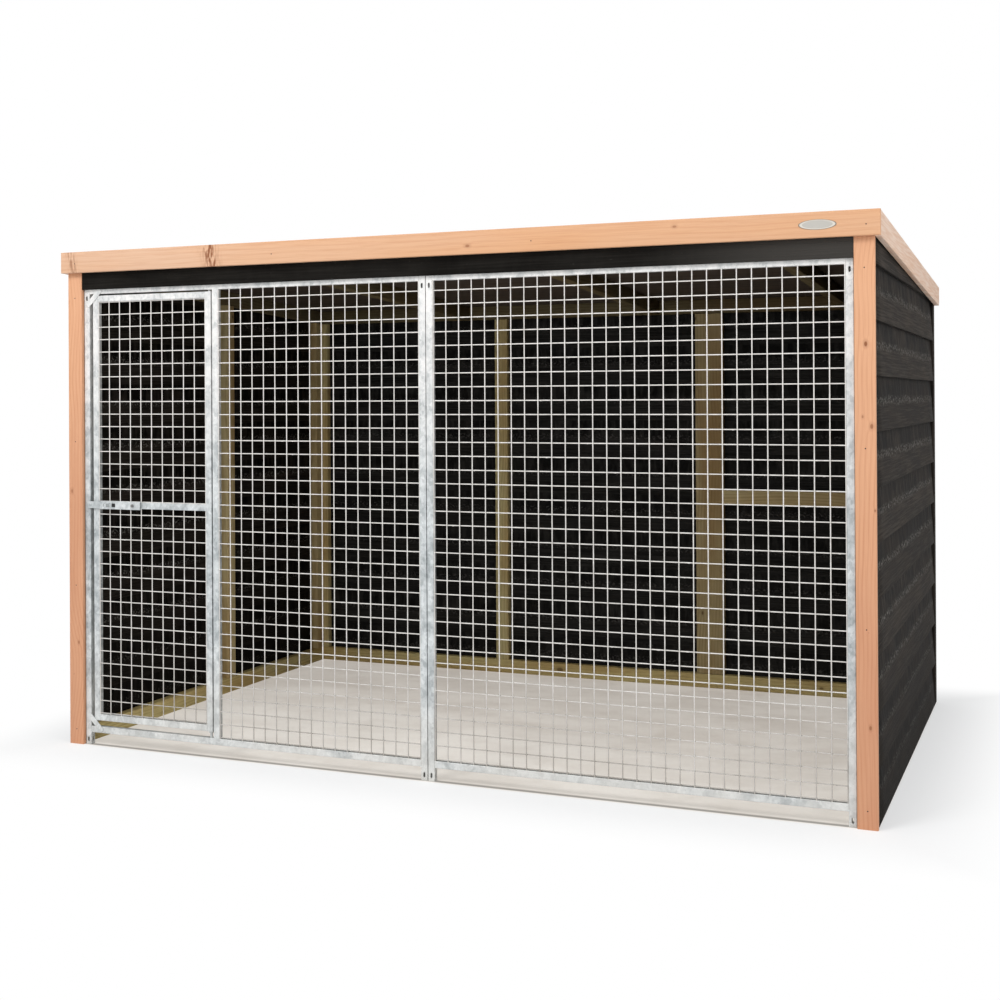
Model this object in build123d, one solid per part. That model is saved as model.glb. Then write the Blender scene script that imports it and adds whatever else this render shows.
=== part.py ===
from build123d import *

import os
from math import cos, floor, radians, sin, tan

# A walk-in run with a mesh front: two galvanised steel mesh panels, one with a door that opens
# inward, stand between two timber side walls, under a header board and a flat roof that falls to
# the back. All sizes are millimetres. X runs along the front, with the door on the -X side, Y runs
# from the front to the back and Z is up. The origin is at the middle of the footprint, on the ground.

# Steel front panels
tube = 25.0
tube_wall = 1.5
tube_chamfer = 1.2
panel_width = 1505.0
panel_height = 1840.0
panel_gap = 3.0
panel_side_clearance = 2.5
foot_height = 49.0
fixed_mesh_width = 854.0
bolt_slot_width = 8.0
bolt_slot_height = 19.0
foot_slot_height = 21.0
top_slot_drop = 42.0

# Welded mesh
mesh_pitch = 50.0
wire = 4.0
mesh_inset = 1.0
panel_first_row = 5.0
door_upper_first_row = 2.0

# Door leaf
door_hinge_gap = 6.0
door_latch_gap = 16.0
door_top_gap = 7.0
door_bottom_gap = 25.0
door_setback = 0.6
door_middle_rail_height = 954.0
hinge_pin_diameter = 10.0
hinge_pin_engagement = 30.0
hinge_collar_diameter = 18.0
hinge_collar_height = 6.0
hinge_plate_thickness = 3.0
running_clearance = 0.3

# Strips welded across the corners of the doorway, which stop the door from swinging outward
stop_strip_width = 20.0
stop_strip_length = 90.0
stop_strip_thickness = 3.0
stop_strip_reach = 54.0
stop_strip_inset = 2.0

# Sliding latch on the middle rail of the door
latch_cover_length = 197.0
latch_cover_height = 32.0
latch_cover_wall = 2.0
latch_cover_offset = 32.0
latch_bar_thickness = 5.0
latch_bar_length = 178.0
latch_bar_overlap = 9.5
latch_bar_corner = 3.0
bar_gap = 0.4
latch_slot_start = 40.0
latch_slot_height = 15.0
latch_travel = 28.0
latch_tab_width = 10.0
latch_tab_reach = 22.0
padlock_hole_width = 9.0
padlock_hole_height = 12.0
padlock_hole_offset = 27.0
latch_bolt_offset = 161.0
latch_bolt_diameter = 6.0
latch_bolt_head = 11.0
latch_bolt_head_height = 4.5

# Timber
frame_width = 66.0
frame_thickness = 38.0
board_edge = 1.5
corner_board_thickness = 20.0
steel_recess = 15.0
header_recess = 3.0
header_height = 114.5
header_overlap = 7.0
run_depth = 2133.0

# Overlapping wall boards
board_cover = 181.0
board_overlap = 19.0
board_tip = 6.0
board_butt = 13.0
board_rebate = 8.0
board_ground_gap = 5.0

# Places of studs, the noggin and rafters
side_stud_middle = 1140.0
back_stud_middle = -499.0
back_joint = 560.0
noggin_height = 878.0
rafter_places = {"left": -690.0, "middle": 300.0, "right": 1200.0}
rafter_thickness = 45.0

# Roof
fascia_height = 84.0
fascia_thickness = 20.0
roof_fall = 2.8
covering_lip = 8.0
covering_thickness = 3.0
deck_thickness = 18.0
side_fascia_round = 14.0

# Oval name plate, bare
plate_length = 121.0
plate_height = 33.0
plate_thickness = 1.5
plate_from_end = 196.0

# Values worked out from the sizes above, along X
panels_half = panel_gap / 2 + panel_width
corner_board_inner = panels_half + panel_side_clearance
wall_outer = corner_board_inner + frame_width
cladding_depth = board_rebate + board_butt
frame_outer = wall_outer - cladding_depth
frame_inner = frame_outer - frame_thickness
roof_half = wall_outer + fascia_thickness

# Along Y, where wall_front is the front face of the side walls
front_depth = plate_thickness + fascia_thickness + corner_board_thickness
overall_depth = front_depth + run_depth + fascia_thickness
wall_front = -overall_depth / 2 + front_depth
wall_back = wall_front + run_depth
corner_front = wall_front - corner_board_thickness
steel_front = corner_front + steel_recess
header_front = corner_front + header_recess
back_frame_outer = wall_back - cladding_depth
back_frame_inner = back_frame_outer - frame_thickness
rear_trim_front = wall_back - frame_width
roof_front = corner_front - fascia_thickness
roof_back = wall_back + fascia_thickness

# Along Z, where the header board laps over the top rails from the front
header_bottom = panel_height - header_overlap
covering_drop = covering_lip + covering_thickness + deck_thickness
header_fall = tan(radians(roof_fall)) * (header_front - roof_front)
fascia_top = panel_height + header_height + covering_drop + header_fall

# The left panel and its doorway
left_panel_start = -panels_half
right_panel_start = panel_gap / 2
doorway_width = panel_width - 3 * tube - fixed_mesh_width
doorway_start = left_panel_start + tube
hinge_post_start = doorway_start + doorway_width
rail_top = foot_height + tube
top_rail_bottom = panel_height - tube

# The door leaf
door_left = doorway_start + door_latch_gap
door_right = hinge_post_start - door_hinge_gap
door_bottom = rail_top + door_bottom_gap
door_top = top_rail_bottom - door_top_gap
door_front = steel_front + door_setback
hinge_x = door_right - tube / 2
hinge_y = door_front + tube / 2

# The latch, whose cover is a flat sleeve on the front of the middle rail
latch_height = door_middle_rail_height + tube / 2
latch_cover_left = door_left + latch_cover_offset
bar_back = door_front - latch_cover_wall - bar_gap
bar_front = bar_back - latch_bar_thickness
cover_front = bar_front - bar_gap - latch_cover_wall
bar_height = latch_cover_height - 2 * latch_cover_wall - 2 * bar_gap
bar_tip = doorway_start - latch_bar_overlap


def roof_line(y, drop=0.0):
    """Height of the roof's edge line at a place along Y, less a drop."""
    return fascia_top - drop - tan(radians(roof_fall)) * (y - roof_front)


def block(x0, x1, y0, y1, z0, z1):
    """Rectangular block between two corners."""
    centre = Pos((x0 + x1) / 2, (y0 + y1) / 2, (z0 + z1) / 2)
    return centre * Box(abs(x1 - x0), abs(y1 - y0), abs(z1 - z0))


def prism_along_x(points, x0, x1):
    """Prism whose outline is (y, z) points."""
    plane = Plane(origin=(x0, 0, 0), x_dir=(0, 1, 0), z_dir=(1, 0, 0))
    return extrude(plane * make_face(Polyline(*points, close=True)), amount=x1 - x0)


def prism_along_y(points, y0, y1):
    """Prism whose outline is (x, z) points."""
    plane = Plane(origin=(0, y1, 0), x_dir=(1, 0, 0), z_dir=(0, -1, 0))
    return extrude(plane * make_face(Polyline(*points, close=True)), amount=y1 - y0)


def prism_along_z(points, z0, z1):
    """Prism whose outline is (x, y) points."""
    plane = Plane.XY.offset(z0)
    return extrude(plane * make_face(Polyline(*points, close=True)), amount=z1 - z0)


def eased(a0, a1, b0, b1, edge):
    """Outline of a rectangle with its four corners cut."""
    return [
        (a0 + edge, b0), (a1 - edge, b0), (a1, b0 + edge), (a1, b1 - edge),
        (a1 - edge, b1), (a0 + edge, b1), (a0, b1 - edge), (a0, b0 + edge),
    ]


def octagon(a, b, width):
    """Outline of a regular octagon, flats square to both axes."""
    radius = width / 2 / cos(radians(22.5))
    turns = [radians(22.5 + 45 * k) for k in range(8)]
    return [(a + radius * cos(t), b + radius * sin(t)) for t in turns]


def slot_outline(a, b, width, height):
    """Outline of an upright slot whose ends are faceted half rounds."""
    radius = width / 2
    rise = height / 2 - radius
    upper = [radians(45 * k) for k in range(5)]
    points = [(a + radius * cos(t), b + rise + radius * sin(t)) for t in upper]
    points += [(a - radius * cos(t), b - rise - radius * sin(t)) for t in upper]
    return points


def below_roof(shape, drop=covering_drop):
    """Cut a shape off along a plane that lies the drop below the roof's edge line."""
    far = 2 * fascia_top
    y0 = roof_front - tube
    y1 = roof_back + tube
    points = [(y0, roof_line(y0, drop)), (y1, roof_line(y1, drop)), (y1, far), (y0, far)]
    return shape - prism_along_x(points, -roof_half - tube, roof_half + tube)


def below_header(shape):
    """Cut a shape off where the header board covers it."""
    return shape - block(-roof_half, roof_half, header_front, steel_front, header_bottom, fascia_top)


def upright_tube(x0, front, z0, z1):
    """Square steel tube that stands up, open at its lower end."""
    outer = prism_along_z(eased(x0, x0 + tube, front, front + tube, tube_chamfer), z0, z1)
    w = tube_wall
    bore = block(x0 + w, x0 + tube - w, front + w, front + tube - w, z0, z1 - w)
    return outer - bore


def level_tube(x0, x1, front, z0):
    """Square steel tube that lies between two uprights."""
    outer = prism_along_x(eased(front, front + tube, z0, z0 + tube, tube_chamfer), x0, x1)
    w = tube_wall
    bore = block(x0, x1, front + w, front + tube - w, z0 + w, z0 + tube - w)
    return outer - bore


def panel_upright(x0, slot_sides):
    """Full-height upright of a panel, with a foot and a slot at each end of the sides named."""
    upright = upright_tube(x0, steel_front, 0, panel_height)
    middle = x0 + tube / 2
    for height in (foot_slot_height, panel_height - top_slot_drop):
        if "front" in slot_sides:
            outline = slot_outline(middle, height, bolt_slot_width, bolt_slot_height)
            upright = upright - prism_along_y(outline, steel_front - wire, steel_front + tube + wire)
        if "side" in slot_sides:
            centre_y = steel_front + tube / 2
            outline = slot_outline(centre_y, height, bolt_slot_width, bolt_slot_height)
            upright = upright - prism_along_x(outline, x0 - wire, x0 + tube + wire)
    return upright


def mesh_sheet(x0, x1, z0, z1, front, first_row):
    """Welded mesh in a frame: upright wires in front, level wires touching them behind."""
    width = x1 - x0
    columns = floor((width - wire) / mesh_pitch + 1e-6) + 1
    margin = (width - (columns - 1) * mesh_pitch) / 2
    rows = floor((z1 - z0 - first_row - wire / 2) / mesh_pitch + 1e-6) + 1
    upright_y = front + mesh_inset + wire / 2
    level_y = upright_y + wire
    wires = []
    for k in range(columns):
        wires.append(prism_along_z(octagon(x0 + margin + k * mesh_pitch, upright_y, wire), z0, z1))
    for k in range(rows):
        wires.append(prism_along_x(octagon(level_y, z0 + first_row + k * mesh_pitch, wire), x0, x1))
    return wires


def left_panel():
    """Left steel panel: doorway at the left, fixed mesh at the right."""
    end_x = left_panel_start + panel_width - tube
    fixed_x = hinge_post_start + tube
    return {
        "left_panel_outer_upright": panel_upright(left_panel_start, ("front", "side")),
        "left_panel_inner_upright": panel_upright(end_x, ("front", "side")),
        "left_panel_hinge_post": upright_tube(hinge_post_start, steel_front, rail_top, top_rail_bottom),
        "left_panel_top_rail": level_tube(doorway_start, end_x, steel_front, top_rail_bottom),
        "left_panel_bottom_rail": level_tube(doorway_start, end_x, steel_front, foot_height),
        "left_panel_mesh": mesh_sheet(
            fixed_x, end_x, rail_top, top_rail_bottom, steel_front, panel_first_row
        ),
    }


def right_panel():
    """Right steel panel: one field of fixed mesh."""
    start_x = right_panel_start
    end_x = start_x + panel_width - tube
    mesh_x = start_x + tube
    return {
        "right_panel_inner_upright": panel_upright(start_x, ("front", "side")),
        "right_panel_outer_upright": panel_upright(end_x, ("front", "side")),
        "right_panel_top_rail": level_tube(mesh_x, end_x, steel_front, top_rail_bottom),
        "right_panel_bottom_rail": level_tube(mesh_x, end_x, steel_front, foot_height),
        "right_panel_mesh": mesh_sheet(
            mesh_x, end_x, rail_top, top_rail_bottom, steel_front, panel_first_row
        ),
    }


def stop_strip(corner_z, up):
    """Flat strip welded at 45 degrees across a corner of the doorway."""
    half = stop_strip_length / 2 / 2 ** 0.5
    across = stop_strip_width / 2 / 2 ** 0.5
    lower_x = doorway_start - stop_strip_inset
    lower_z = -stop_strip_reach
    centre_x = lower_x + half - across
    centre_z = lower_z + half + across
    points = []
    for a, b in ((-1, -1), (1, -1), (1, 1), (-1, 1)):
        x = centre_x + a * half - b * across
        z = centre_z + a * half + b * across
        points.append((x, corner_z + up * z))
    return prism_along_y(points, steel_front - stop_strip_thickness, steel_front)


def door_hinge_upright():
    """Hinge upright of the door, closed at both ends by plates that run on the pins."""
    x0 = door_right - tube
    y0 = door_front
    w = tube_wall
    plate = hinge_plate_thickness
    outline = eased(x0, door_right, y0, y0 + tube, tube_chamfer)
    upright = prism_along_z(outline, door_bottom, door_top)
    bore = block(x0 + w, door_right - w, y0 + w, y0 + tube - w, door_bottom + plate, door_top - plate)
    hole_radius = hinge_pin_diameter / 2 + running_clearance
    hole = Pos(hinge_x, hinge_y, (door_bottom + door_top) / 2) * Cylinder(hole_radius, 2 * panel_height)
    return upright - bore - hole


def door():
    """Door leaf: two uprights, three rails and two fields of mesh."""
    inner_left = door_left + tube
    inner_right = door_right - tube
    middle_top = door_middle_rail_height + tube
    upper = mesh_sheet(
        inner_left, inner_right, middle_top, door_top - tube, door_front, door_upper_first_row
    )
    lower = mesh_sheet(
        inner_left, inner_right, door_bottom + tube, door_middle_rail_height, door_front,
        panel_first_row,
    )
    return {
        "door_latch_upright": upright_tube(door_left, door_front, door_bottom, door_top),
        "door_hinge_upright": door_hinge_upright(),
        "door_top_rail": level_tube(inner_left, inner_right, door_front, door_top - tube),
        "door_middle_rail": level_tube(inner_left, inner_right, door_front, door_middle_rail_height),
        "door_bottom_rail": level_tube(inner_left, inner_right, door_front, door_bottom),
        "door_mesh": upper + lower,
    }


def hinge_pins():
    """Pins fixed to the rails of the panel, on which the door turns."""
    radius = hinge_pin_diameter / 2
    lower_end = door_bottom + hinge_pin_engagement
    upper_end = door_top - hinge_pin_engagement
    collar_top = door_bottom - running_clearance
    lower = Pos(hinge_x, hinge_y, (rail_top + lower_end) / 2) * Cylinder(radius, lower_end - rail_top)
    collar_middle = collar_top - hinge_collar_height / 2
    collar = Cylinder(hinge_collar_diameter / 2, hinge_collar_height)
    lower = lower + Pos(hinge_x, hinge_y, collar_middle) * collar
    upper_middle = (top_rail_bottom + upper_end) / 2
    upper = Pos(hinge_x, hinge_y, upper_middle) * Cylinder(radius, top_rail_bottom - upper_end)
    return {"door_hinge_pin_lower": lower, "door_hinge_pin_upper": upper}


def latch_cover():
    """Sleeve for the latch bar, with a padlock hole, a slot for the tab and a hole for the bolt."""
    x0 = latch_cover_left
    x1 = x0 + latch_cover_length
    z0 = latch_height - latch_cover_height / 2
    z1 = z0 + latch_cover_height
    w = latch_cover_wall
    cover = prism_along_x(eased(cover_front, door_front, z0, z1, w / 2), x0, x1)
    cover = cover - block(x0, x1, cover_front + w, door_front - w, z0 + w, z1 - w)
    slot_x = x0 + latch_slot_start
    slot_end = slot_x + latch_tab_width + latch_travel + 2 * bar_gap
    slot_z = latch_slot_height / 2
    cover = cover - block(
        slot_x, slot_end, cover_front - w, cover_front + w, latch_height - slot_z, latch_height + slot_z
    )
    hole_x = x0 + padlock_hole_offset
    hole_z = padlock_hole_height / 2
    cover = cover - block(
        hole_x - padlock_hole_width / 2, hole_x + padlock_hole_width / 2, cover_front - w,
        cover_front + w, latch_height - hole_z, latch_height + hole_z,
    )
    bolt_hole = Cylinder(latch_bolt_diameter / 2 + running_clearance, 4 * w)
    bolt_place = Pos(x0 + latch_bolt_offset, cover_front, latch_height) * Rot(90, 0, 0)
    return cover - bolt_place * bolt_hole


def latch_bar():
    """Flat bar that slides in the cover, with a tab for the thumb that stands out of the slot."""
    x0 = bar_tip
    x1 = x0 + latch_bar_length
    z0 = latch_height - bar_height / 2
    z1 = z0 + bar_height
    c = latch_bar_corner
    points = [(x0 + c, z0), (x1, z0), (x1, z1), (x0 + c, z1), (x0, z1 - c), (x0, z0 + c)]
    bar = prism_along_y(points, bar_front, bar_back)
    tab_x = latch_cover_left + latch_slot_start + bar_gap
    tab_z = latch_slot_height / 2 - bar_gap
    tab_front = cover_front - latch_tab_reach
    tab = prism_along_x(
        eased(tab_front, bar_back, latch_height - tab_z, latch_height + tab_z, bar_gap),
        tab_x, tab_x + latch_tab_width,
    )
    hole_x = latch_cover_left + padlock_hole_offset
    hole_z = padlock_hole_height / 2
    hole = block(
        hole_x - padlock_hole_width / 2, hole_x + padlock_hole_width / 2, bar_front - wire,
        bar_back + wire, latch_height - hole_z, latch_height + hole_z,
    )
    return bar + tab - hole


def latch_bolt():
    """Hexagon bolt that holds the cover to the middle rail."""
    place = Pos(latch_cover_left + latch_bolt_offset, 0, latch_height)
    radius = latch_bolt_head / 2 / cos(radians(30))
    points = [(radius * cos(radians(60 * k)), radius * sin(radians(60 * k))) for k in range(6)]
    head = prism_along_y(points, cover_front - latch_bolt_head_height, cover_front)
    length = door_front - latch_cover_wall - cover_front
    shank = Pos(0, cover_front + length / 2, 0) * Rot(90, 0, 0)
    shank = shank * Cylinder(latch_bolt_diameter / 2, length)
    return place * (head + shank)


def latch():
    """All the pieces of the latch."""
    return {
        "latch_cover": latch_cover(),
        "latch_bar": latch_bar(),
        "latch_bolt": latch_bolt(),
    }


def wall_board_outline(face, outward, z0):
    """Outline of one rebated wall board: its flat back on the frame and its lap at the bottom."""
    z1 = z0 + board_cover + board_overlap
    lap_z = z0 + board_overlap + running_clearance
    return [
        (face, lap_z), (face, z1), (face + outward * board_tip, z1),
        (face + outward * cladding_depth, z0), (face + outward * board_rebate, z0),
        (face + outward * board_rebate, lap_z),
    ]


def board_heights(top):
    """Heights of the lower edges of the boards of a wall."""
    count = floor((top - board_ground_gap - board_overlap) / board_cover + 1e-6) + 1
    return [board_ground_gap + k * board_cover for k in range(count)]


def starter_board(board, x0, x1, y0, y1):
    """Lowest board of a wall: its lap is filled so that it sits flat on the frame."""
    filler_z = board_ground_gap + board_overlap + running_clearance
    return board + block(x0, x1, y0, y1, board_ground_gap, filler_z)


def side_cladding(side):
    """Overlapping boards of a side wall, the top one cut to the roof."""
    face = side * frame_outer
    boards = []
    for z0 in board_heights(roof_line(wall_front, covering_drop)):
        board = prism_along_y(wall_board_outline(face, side, z0), wall_front, rear_trim_front)
        if z0 == board_ground_gap:
            rebate = face + side * board_rebate
            board = starter_board(board, face, rebate, wall_front, rear_trim_front)
        boards.append(below_roof(board))
    return boards


def back_cladding():
    """Overlapping boards of the back wall."""
    face = back_frame_outer
    boards = []
    for z0 in board_heights(roof_line(wall_back, covering_drop)):
        board = prism_along_x(wall_board_outline(face, 1, z0), -frame_outer, frame_outer)
        if z0 == board_ground_gap:
            board = starter_board(board, -frame_outer, frame_outer, face, face + board_rebate)
        boards.append(below_roof(board))
    return boards


def side_wall(name, side):
    """Frame and cladding of one side wall."""
    x0, x1 = sorted((side * frame_inner, side * frame_outer))
    y0 = wall_front
    y1 = back_frame_inner
    top_drop = covering_drop + frame_width
    top_points = [
        (y0, roof_line(y0, top_drop)), (y1, roof_line(y1, top_drop)),
        (y1, roof_line(y1, covering_drop)), (y0, roof_line(y0, covering_drop)),
    ]
    stud_starts = {
        "front": y0,
        "middle": y0 + side_stud_middle - frame_width / 2,
        "rear": y1 - frame_width,
    }
    pieces = {
        f"{name}_wall_bottom_plate": block(x0, x1, y0, y1, 0, frame_width),
        f"{name}_wall_top_plate": prism_along_x(top_points, x0, x1),
        f"{name}_wall_cladding": side_cladding(side),
    }
    for place, start in stud_starts.items():
        stud = block(x0, x1, start, start + frame_width, frame_width, fascia_top)
        pieces[f"{name}_wall_{place}_stud"] = below_roof(stud, top_drop)
    return pieces


def back_wall():
    """Back wall, built as two framed lengths that meet at a pair of studs."""
    y0 = back_frame_inner
    y1 = back_frame_outer
    plate_bottom = roof_line(y1, covering_drop + frame_width)
    spans = ((-frame_outer, back_joint), (back_joint, frame_outer))
    bottom_plates = [block(a, b, y0, y1, 0, frame_width) for a, b in spans]
    top_plates = [below_roof(block(a, b, y0, y1, plate_bottom, fascia_top)) for a, b in spans]

    def stud(start):
        return block(start, start + frame_width, y0, y1, frame_width, plate_bottom)

    noggin_start = back_joint + frame_width
    noggin_end = frame_outer - frame_width
    noggin_top = noggin_height + frame_width
    return {
        "back_wall_bottom_plates": bottom_plates,
        "back_wall_top_plates": top_plates,
        "back_wall_left_stud": stud(-frame_outer),
        "back_wall_middle_stud": stud(back_stud_middle - frame_width / 2),
        "back_wall_joint_studs": [stud(back_joint - frame_width), stud(back_joint)],
        "back_wall_right_stud": stud(noggin_end),
        "back_wall_noggin": block(noggin_start, noggin_end, y0, y1, noggin_height, noggin_top),
        "back_wall_cladding": back_cladding(),
    }


def trims():
    """Boards on the four corners and the dark header board above the steel."""
    pieces = {}
    for name, side in (("left", -1), ("right", 1)):
        x0, x1 = sorted((side * corner_board_inner, side * wall_outer))
        outline = eased(x0, x1, corner_front, wall_front, board_edge)
        pieces[f"front_corner_board_{name}"] = below_roof(prism_along_z(outline, 0, fascia_top))
        x0, x1 = sorted((side * frame_outer, side * wall_outer))
        outline = eased(x0, x1, rear_trim_front, wall_back, board_edge)
        trim = prism_along_z(outline, board_ground_gap, fascia_top)
        pieces[f"rear_corner_board_{name}"] = below_roof(trim)
    header = block(
        -corner_board_inner, corner_board_inner, header_front, steel_front, header_bottom, fascia_top
    )
    pieces["header_board"] = below_roof(header)
    return pieces


def side_fascia(side):
    """Sloping board along the roof's side edge, its rear end rounded at the lower corner."""
    x0, x1 = sorted((side * wall_outer, side * roof_half))
    y0 = corner_front
    y1 = roof_back
    drop = fascia_height
    points = [
        (y0, roof_line(y0, drop)), (y1, roof_line(y1, drop)), (y1, roof_line(y1)), (y0, roof_line(y0)),
    ]
    board = prism_along_x(points, x0, x1)
    lower = board.edges().filter_by(Axis.X).sort_by(lambda edge: edge.center().Y)[-2:]
    lower = lower.sort_by(Axis.Z)[0]
    return fillet(lower, side_fascia_round)


def fascias():
    """Boards round the roof's edge."""
    front_bottom = fascia_top - fascia_height
    rear_top = roof_line(roof_back)
    front_outline = eased(roof_front, corner_front, front_bottom, fascia_top, board_edge)
    rear_outline = eased(wall_back, roof_back, rear_top - fascia_height, rear_top, board_edge)
    return {
        "front_fascia": prism_along_x(front_outline, -roof_half, roof_half),
        "rear_fascia": prism_along_x(rear_outline, -wall_outer, wall_outer),
        "side_fascia_left": side_fascia(-1),
        "side_fascia_right": side_fascia(1),
    }


def roof_sheet(x0, x1, lower_drop, upper_drop):
    """Sheet inside the fascias, parallel to the roof's edge line."""
    y0 = corner_front
    y1 = wall_back
    points = [
        (y0, roof_line(y0, lower_drop)), (y1, roof_line(y1, lower_drop)),
        (y1, roof_line(y1, upper_drop)), (y0, roof_line(y0, upper_drop)),
    ]
    return prism_along_x(points, x0, x1)


def roof():
    """Rafters, the deck in two sheets and the covering."""
    deck_top = covering_lip + covering_thickness
    spans = ((-wall_outer, back_joint), (back_joint, wall_outer))
    deck = [roof_sheet(a, b, covering_drop, deck_top) for a, b in spans]
    pieces = {
        "roof_deck": deck,
        "roof_covering": roof_sheet(-wall_outer, wall_outer, deck_top, covering_lip),
    }
    y0 = steel_front
    y1 = back_frame_inner
    low = covering_drop + frame_width
    points = [
        (y0, roof_line(y0, low)), (y1, roof_line(y1, low)),
        (y1, roof_line(y1, covering_drop)), (y0, roof_line(y0, covering_drop)),
    ]
    for name, x in rafter_places.items():
        x0 = x - rafter_thickness / 2
        pieces[f"rafter_{name}"] = prism_along_x(points, x0, x0 + rafter_thickness)
    return pieces


def name_plate():
    """Thin oval plate on the front fascia, left bare."""
    centre_x = roof_half - plate_from_end
    centre_z = fascia_top - fascia_height / 2
    plane = Plane(origin=(centre_x, roof_front, centre_z), x_dir=(1, 0, 0), z_dir=(0, -1, 0))
    oval = Ellipse(plate_length / 2, plate_height / 2)
    return {"name_plate": extrude(plane * oval, amount=plate_thickness)}


def all_pieces():
    """Every node of the run with its solid or solids."""
    pieces = {}
    pieces.update(left_panel())
    pieces["door_stop_strip_upper"] = below_header(stop_strip(top_rail_bottom, 1))
    pieces["door_stop_strip_lower"] = stop_strip(rail_top, -1)
    pieces.update(right_panel())
    pieces.update(door())
    pieces.update(hinge_pins())
    pieces.update(latch())
    pieces.update(side_wall("left", -1))
    pieces.update(side_wall("right", 1))
    pieces.update(back_wall())
    pieces.update(trims())
    pieces.update(fascias())
    pieces.update(roof())
    pieces.update(name_plate())
    return pieces


def write_pieces():
    """Write one file per node."""
    os.makedirs("parts", exist_ok=True)
    for node, piece in all_pieces().items():
        shape = Compound(children=piece) if isinstance(piece, list) else piece
        export_step(shape, f"parts/{node}.step")


write_pieces()
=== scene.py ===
"""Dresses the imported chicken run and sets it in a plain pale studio.

Timber, dark stained boards, galvanised tube and welded mesh, a rubber roof and a bare name plate.
Lengths are metres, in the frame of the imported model: +X along the front, +Y to the back, +Z up.
"""
import logging
import math
import random
from dataclasses import dataclass
from enum import Enum

import bmesh
import bpy
from mathutils import Matrix, Vector, noise


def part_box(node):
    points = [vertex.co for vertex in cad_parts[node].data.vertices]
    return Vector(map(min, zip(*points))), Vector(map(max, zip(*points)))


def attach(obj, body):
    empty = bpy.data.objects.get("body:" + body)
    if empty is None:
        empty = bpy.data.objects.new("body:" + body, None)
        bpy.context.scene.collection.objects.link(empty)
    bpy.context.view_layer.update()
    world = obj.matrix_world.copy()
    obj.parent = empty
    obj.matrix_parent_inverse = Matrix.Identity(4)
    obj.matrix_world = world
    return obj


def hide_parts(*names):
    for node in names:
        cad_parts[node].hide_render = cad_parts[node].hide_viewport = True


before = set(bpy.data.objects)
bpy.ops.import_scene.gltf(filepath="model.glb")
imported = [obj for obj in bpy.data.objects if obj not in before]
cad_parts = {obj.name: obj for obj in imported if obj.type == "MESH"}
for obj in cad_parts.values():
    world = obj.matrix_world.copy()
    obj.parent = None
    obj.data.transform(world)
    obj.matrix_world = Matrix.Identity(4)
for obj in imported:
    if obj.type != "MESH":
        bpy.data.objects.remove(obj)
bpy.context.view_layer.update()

MM = 0.001
SEED = 41
FLAT = math.radians(1.0)
SHARP = math.radians(20)

Colour = tuple[float, float, float]
Socket = bpy.types.NodeSocket
Material = bpy.types.Material
WHITE: Colour = (1.0, 1.0, 1.0)
BLACK: Colour = (0.0, 0.0, 0.0)
log = logging.getLogger("chicken_run")


class Axis(Enum):
    """The three directions of the frame."""

    X = 0
    Y = 1
    Z = 2


End = tuple[Vector, Vector, Axis]


class Body(Enum):
    """The moving bodies of the run."""

    KENNEL = "kennel"
    DOOR = "door"
    LATCH_BAR = "latch_bar"


class Slot(Enum):
    """Material slots of the record."""

    STEEL = "galvanised_steel"
    PLANED = "planed_timber"
    STAINED = "stained_timber"
    FRAMING = "framing_timber"
    PLATE = "plate"


# Shader maths


class Value:
    """A number that varies over a surface: an output socket that takes arithmetic."""

    def __init__(self, graph: "Graph", socket: Socket) -> None:
        """Wraps a socket.

        Args:
            graph: the nodes that the socket belongs to.
            socket: the output socket.
        """
        self.graph = graph
        self.socket = socket

    def __add__(self, other: "Value | float") -> "Value":
        """Sum."""
        return self.graph.maths("ADD", self, other)

    def __radd__(self, other: float) -> "Value":
        """Sum with a number on the left."""
        return self.graph.maths("ADD", other, self)

    def __sub__(self, other: "Value | float") -> "Value":
        """Difference."""
        return self.graph.maths("SUBTRACT", self, other)

    def __rsub__(self, other: float) -> "Value":
        """Difference from a number on the left."""
        return self.graph.maths("SUBTRACT", other, self)

    def __mul__(self, other: "Value | float") -> "Value":
        """Product."""
        return self.graph.maths("MULTIPLY", self, other)

    def __rmul__(self, other: float) -> "Value":
        """Product with a number on the left."""
        return self.graph.maths("MULTIPLY", other, self)

    def __truediv__(self, other: "Value | float") -> "Value":
        """Quotient."""
        return self.graph.maths("DIVIDE", self, other)

    def __pow__(self, other: "Value | float") -> "Value":
        """Power."""
        return self.graph.maths("POWER", self, other)


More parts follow.
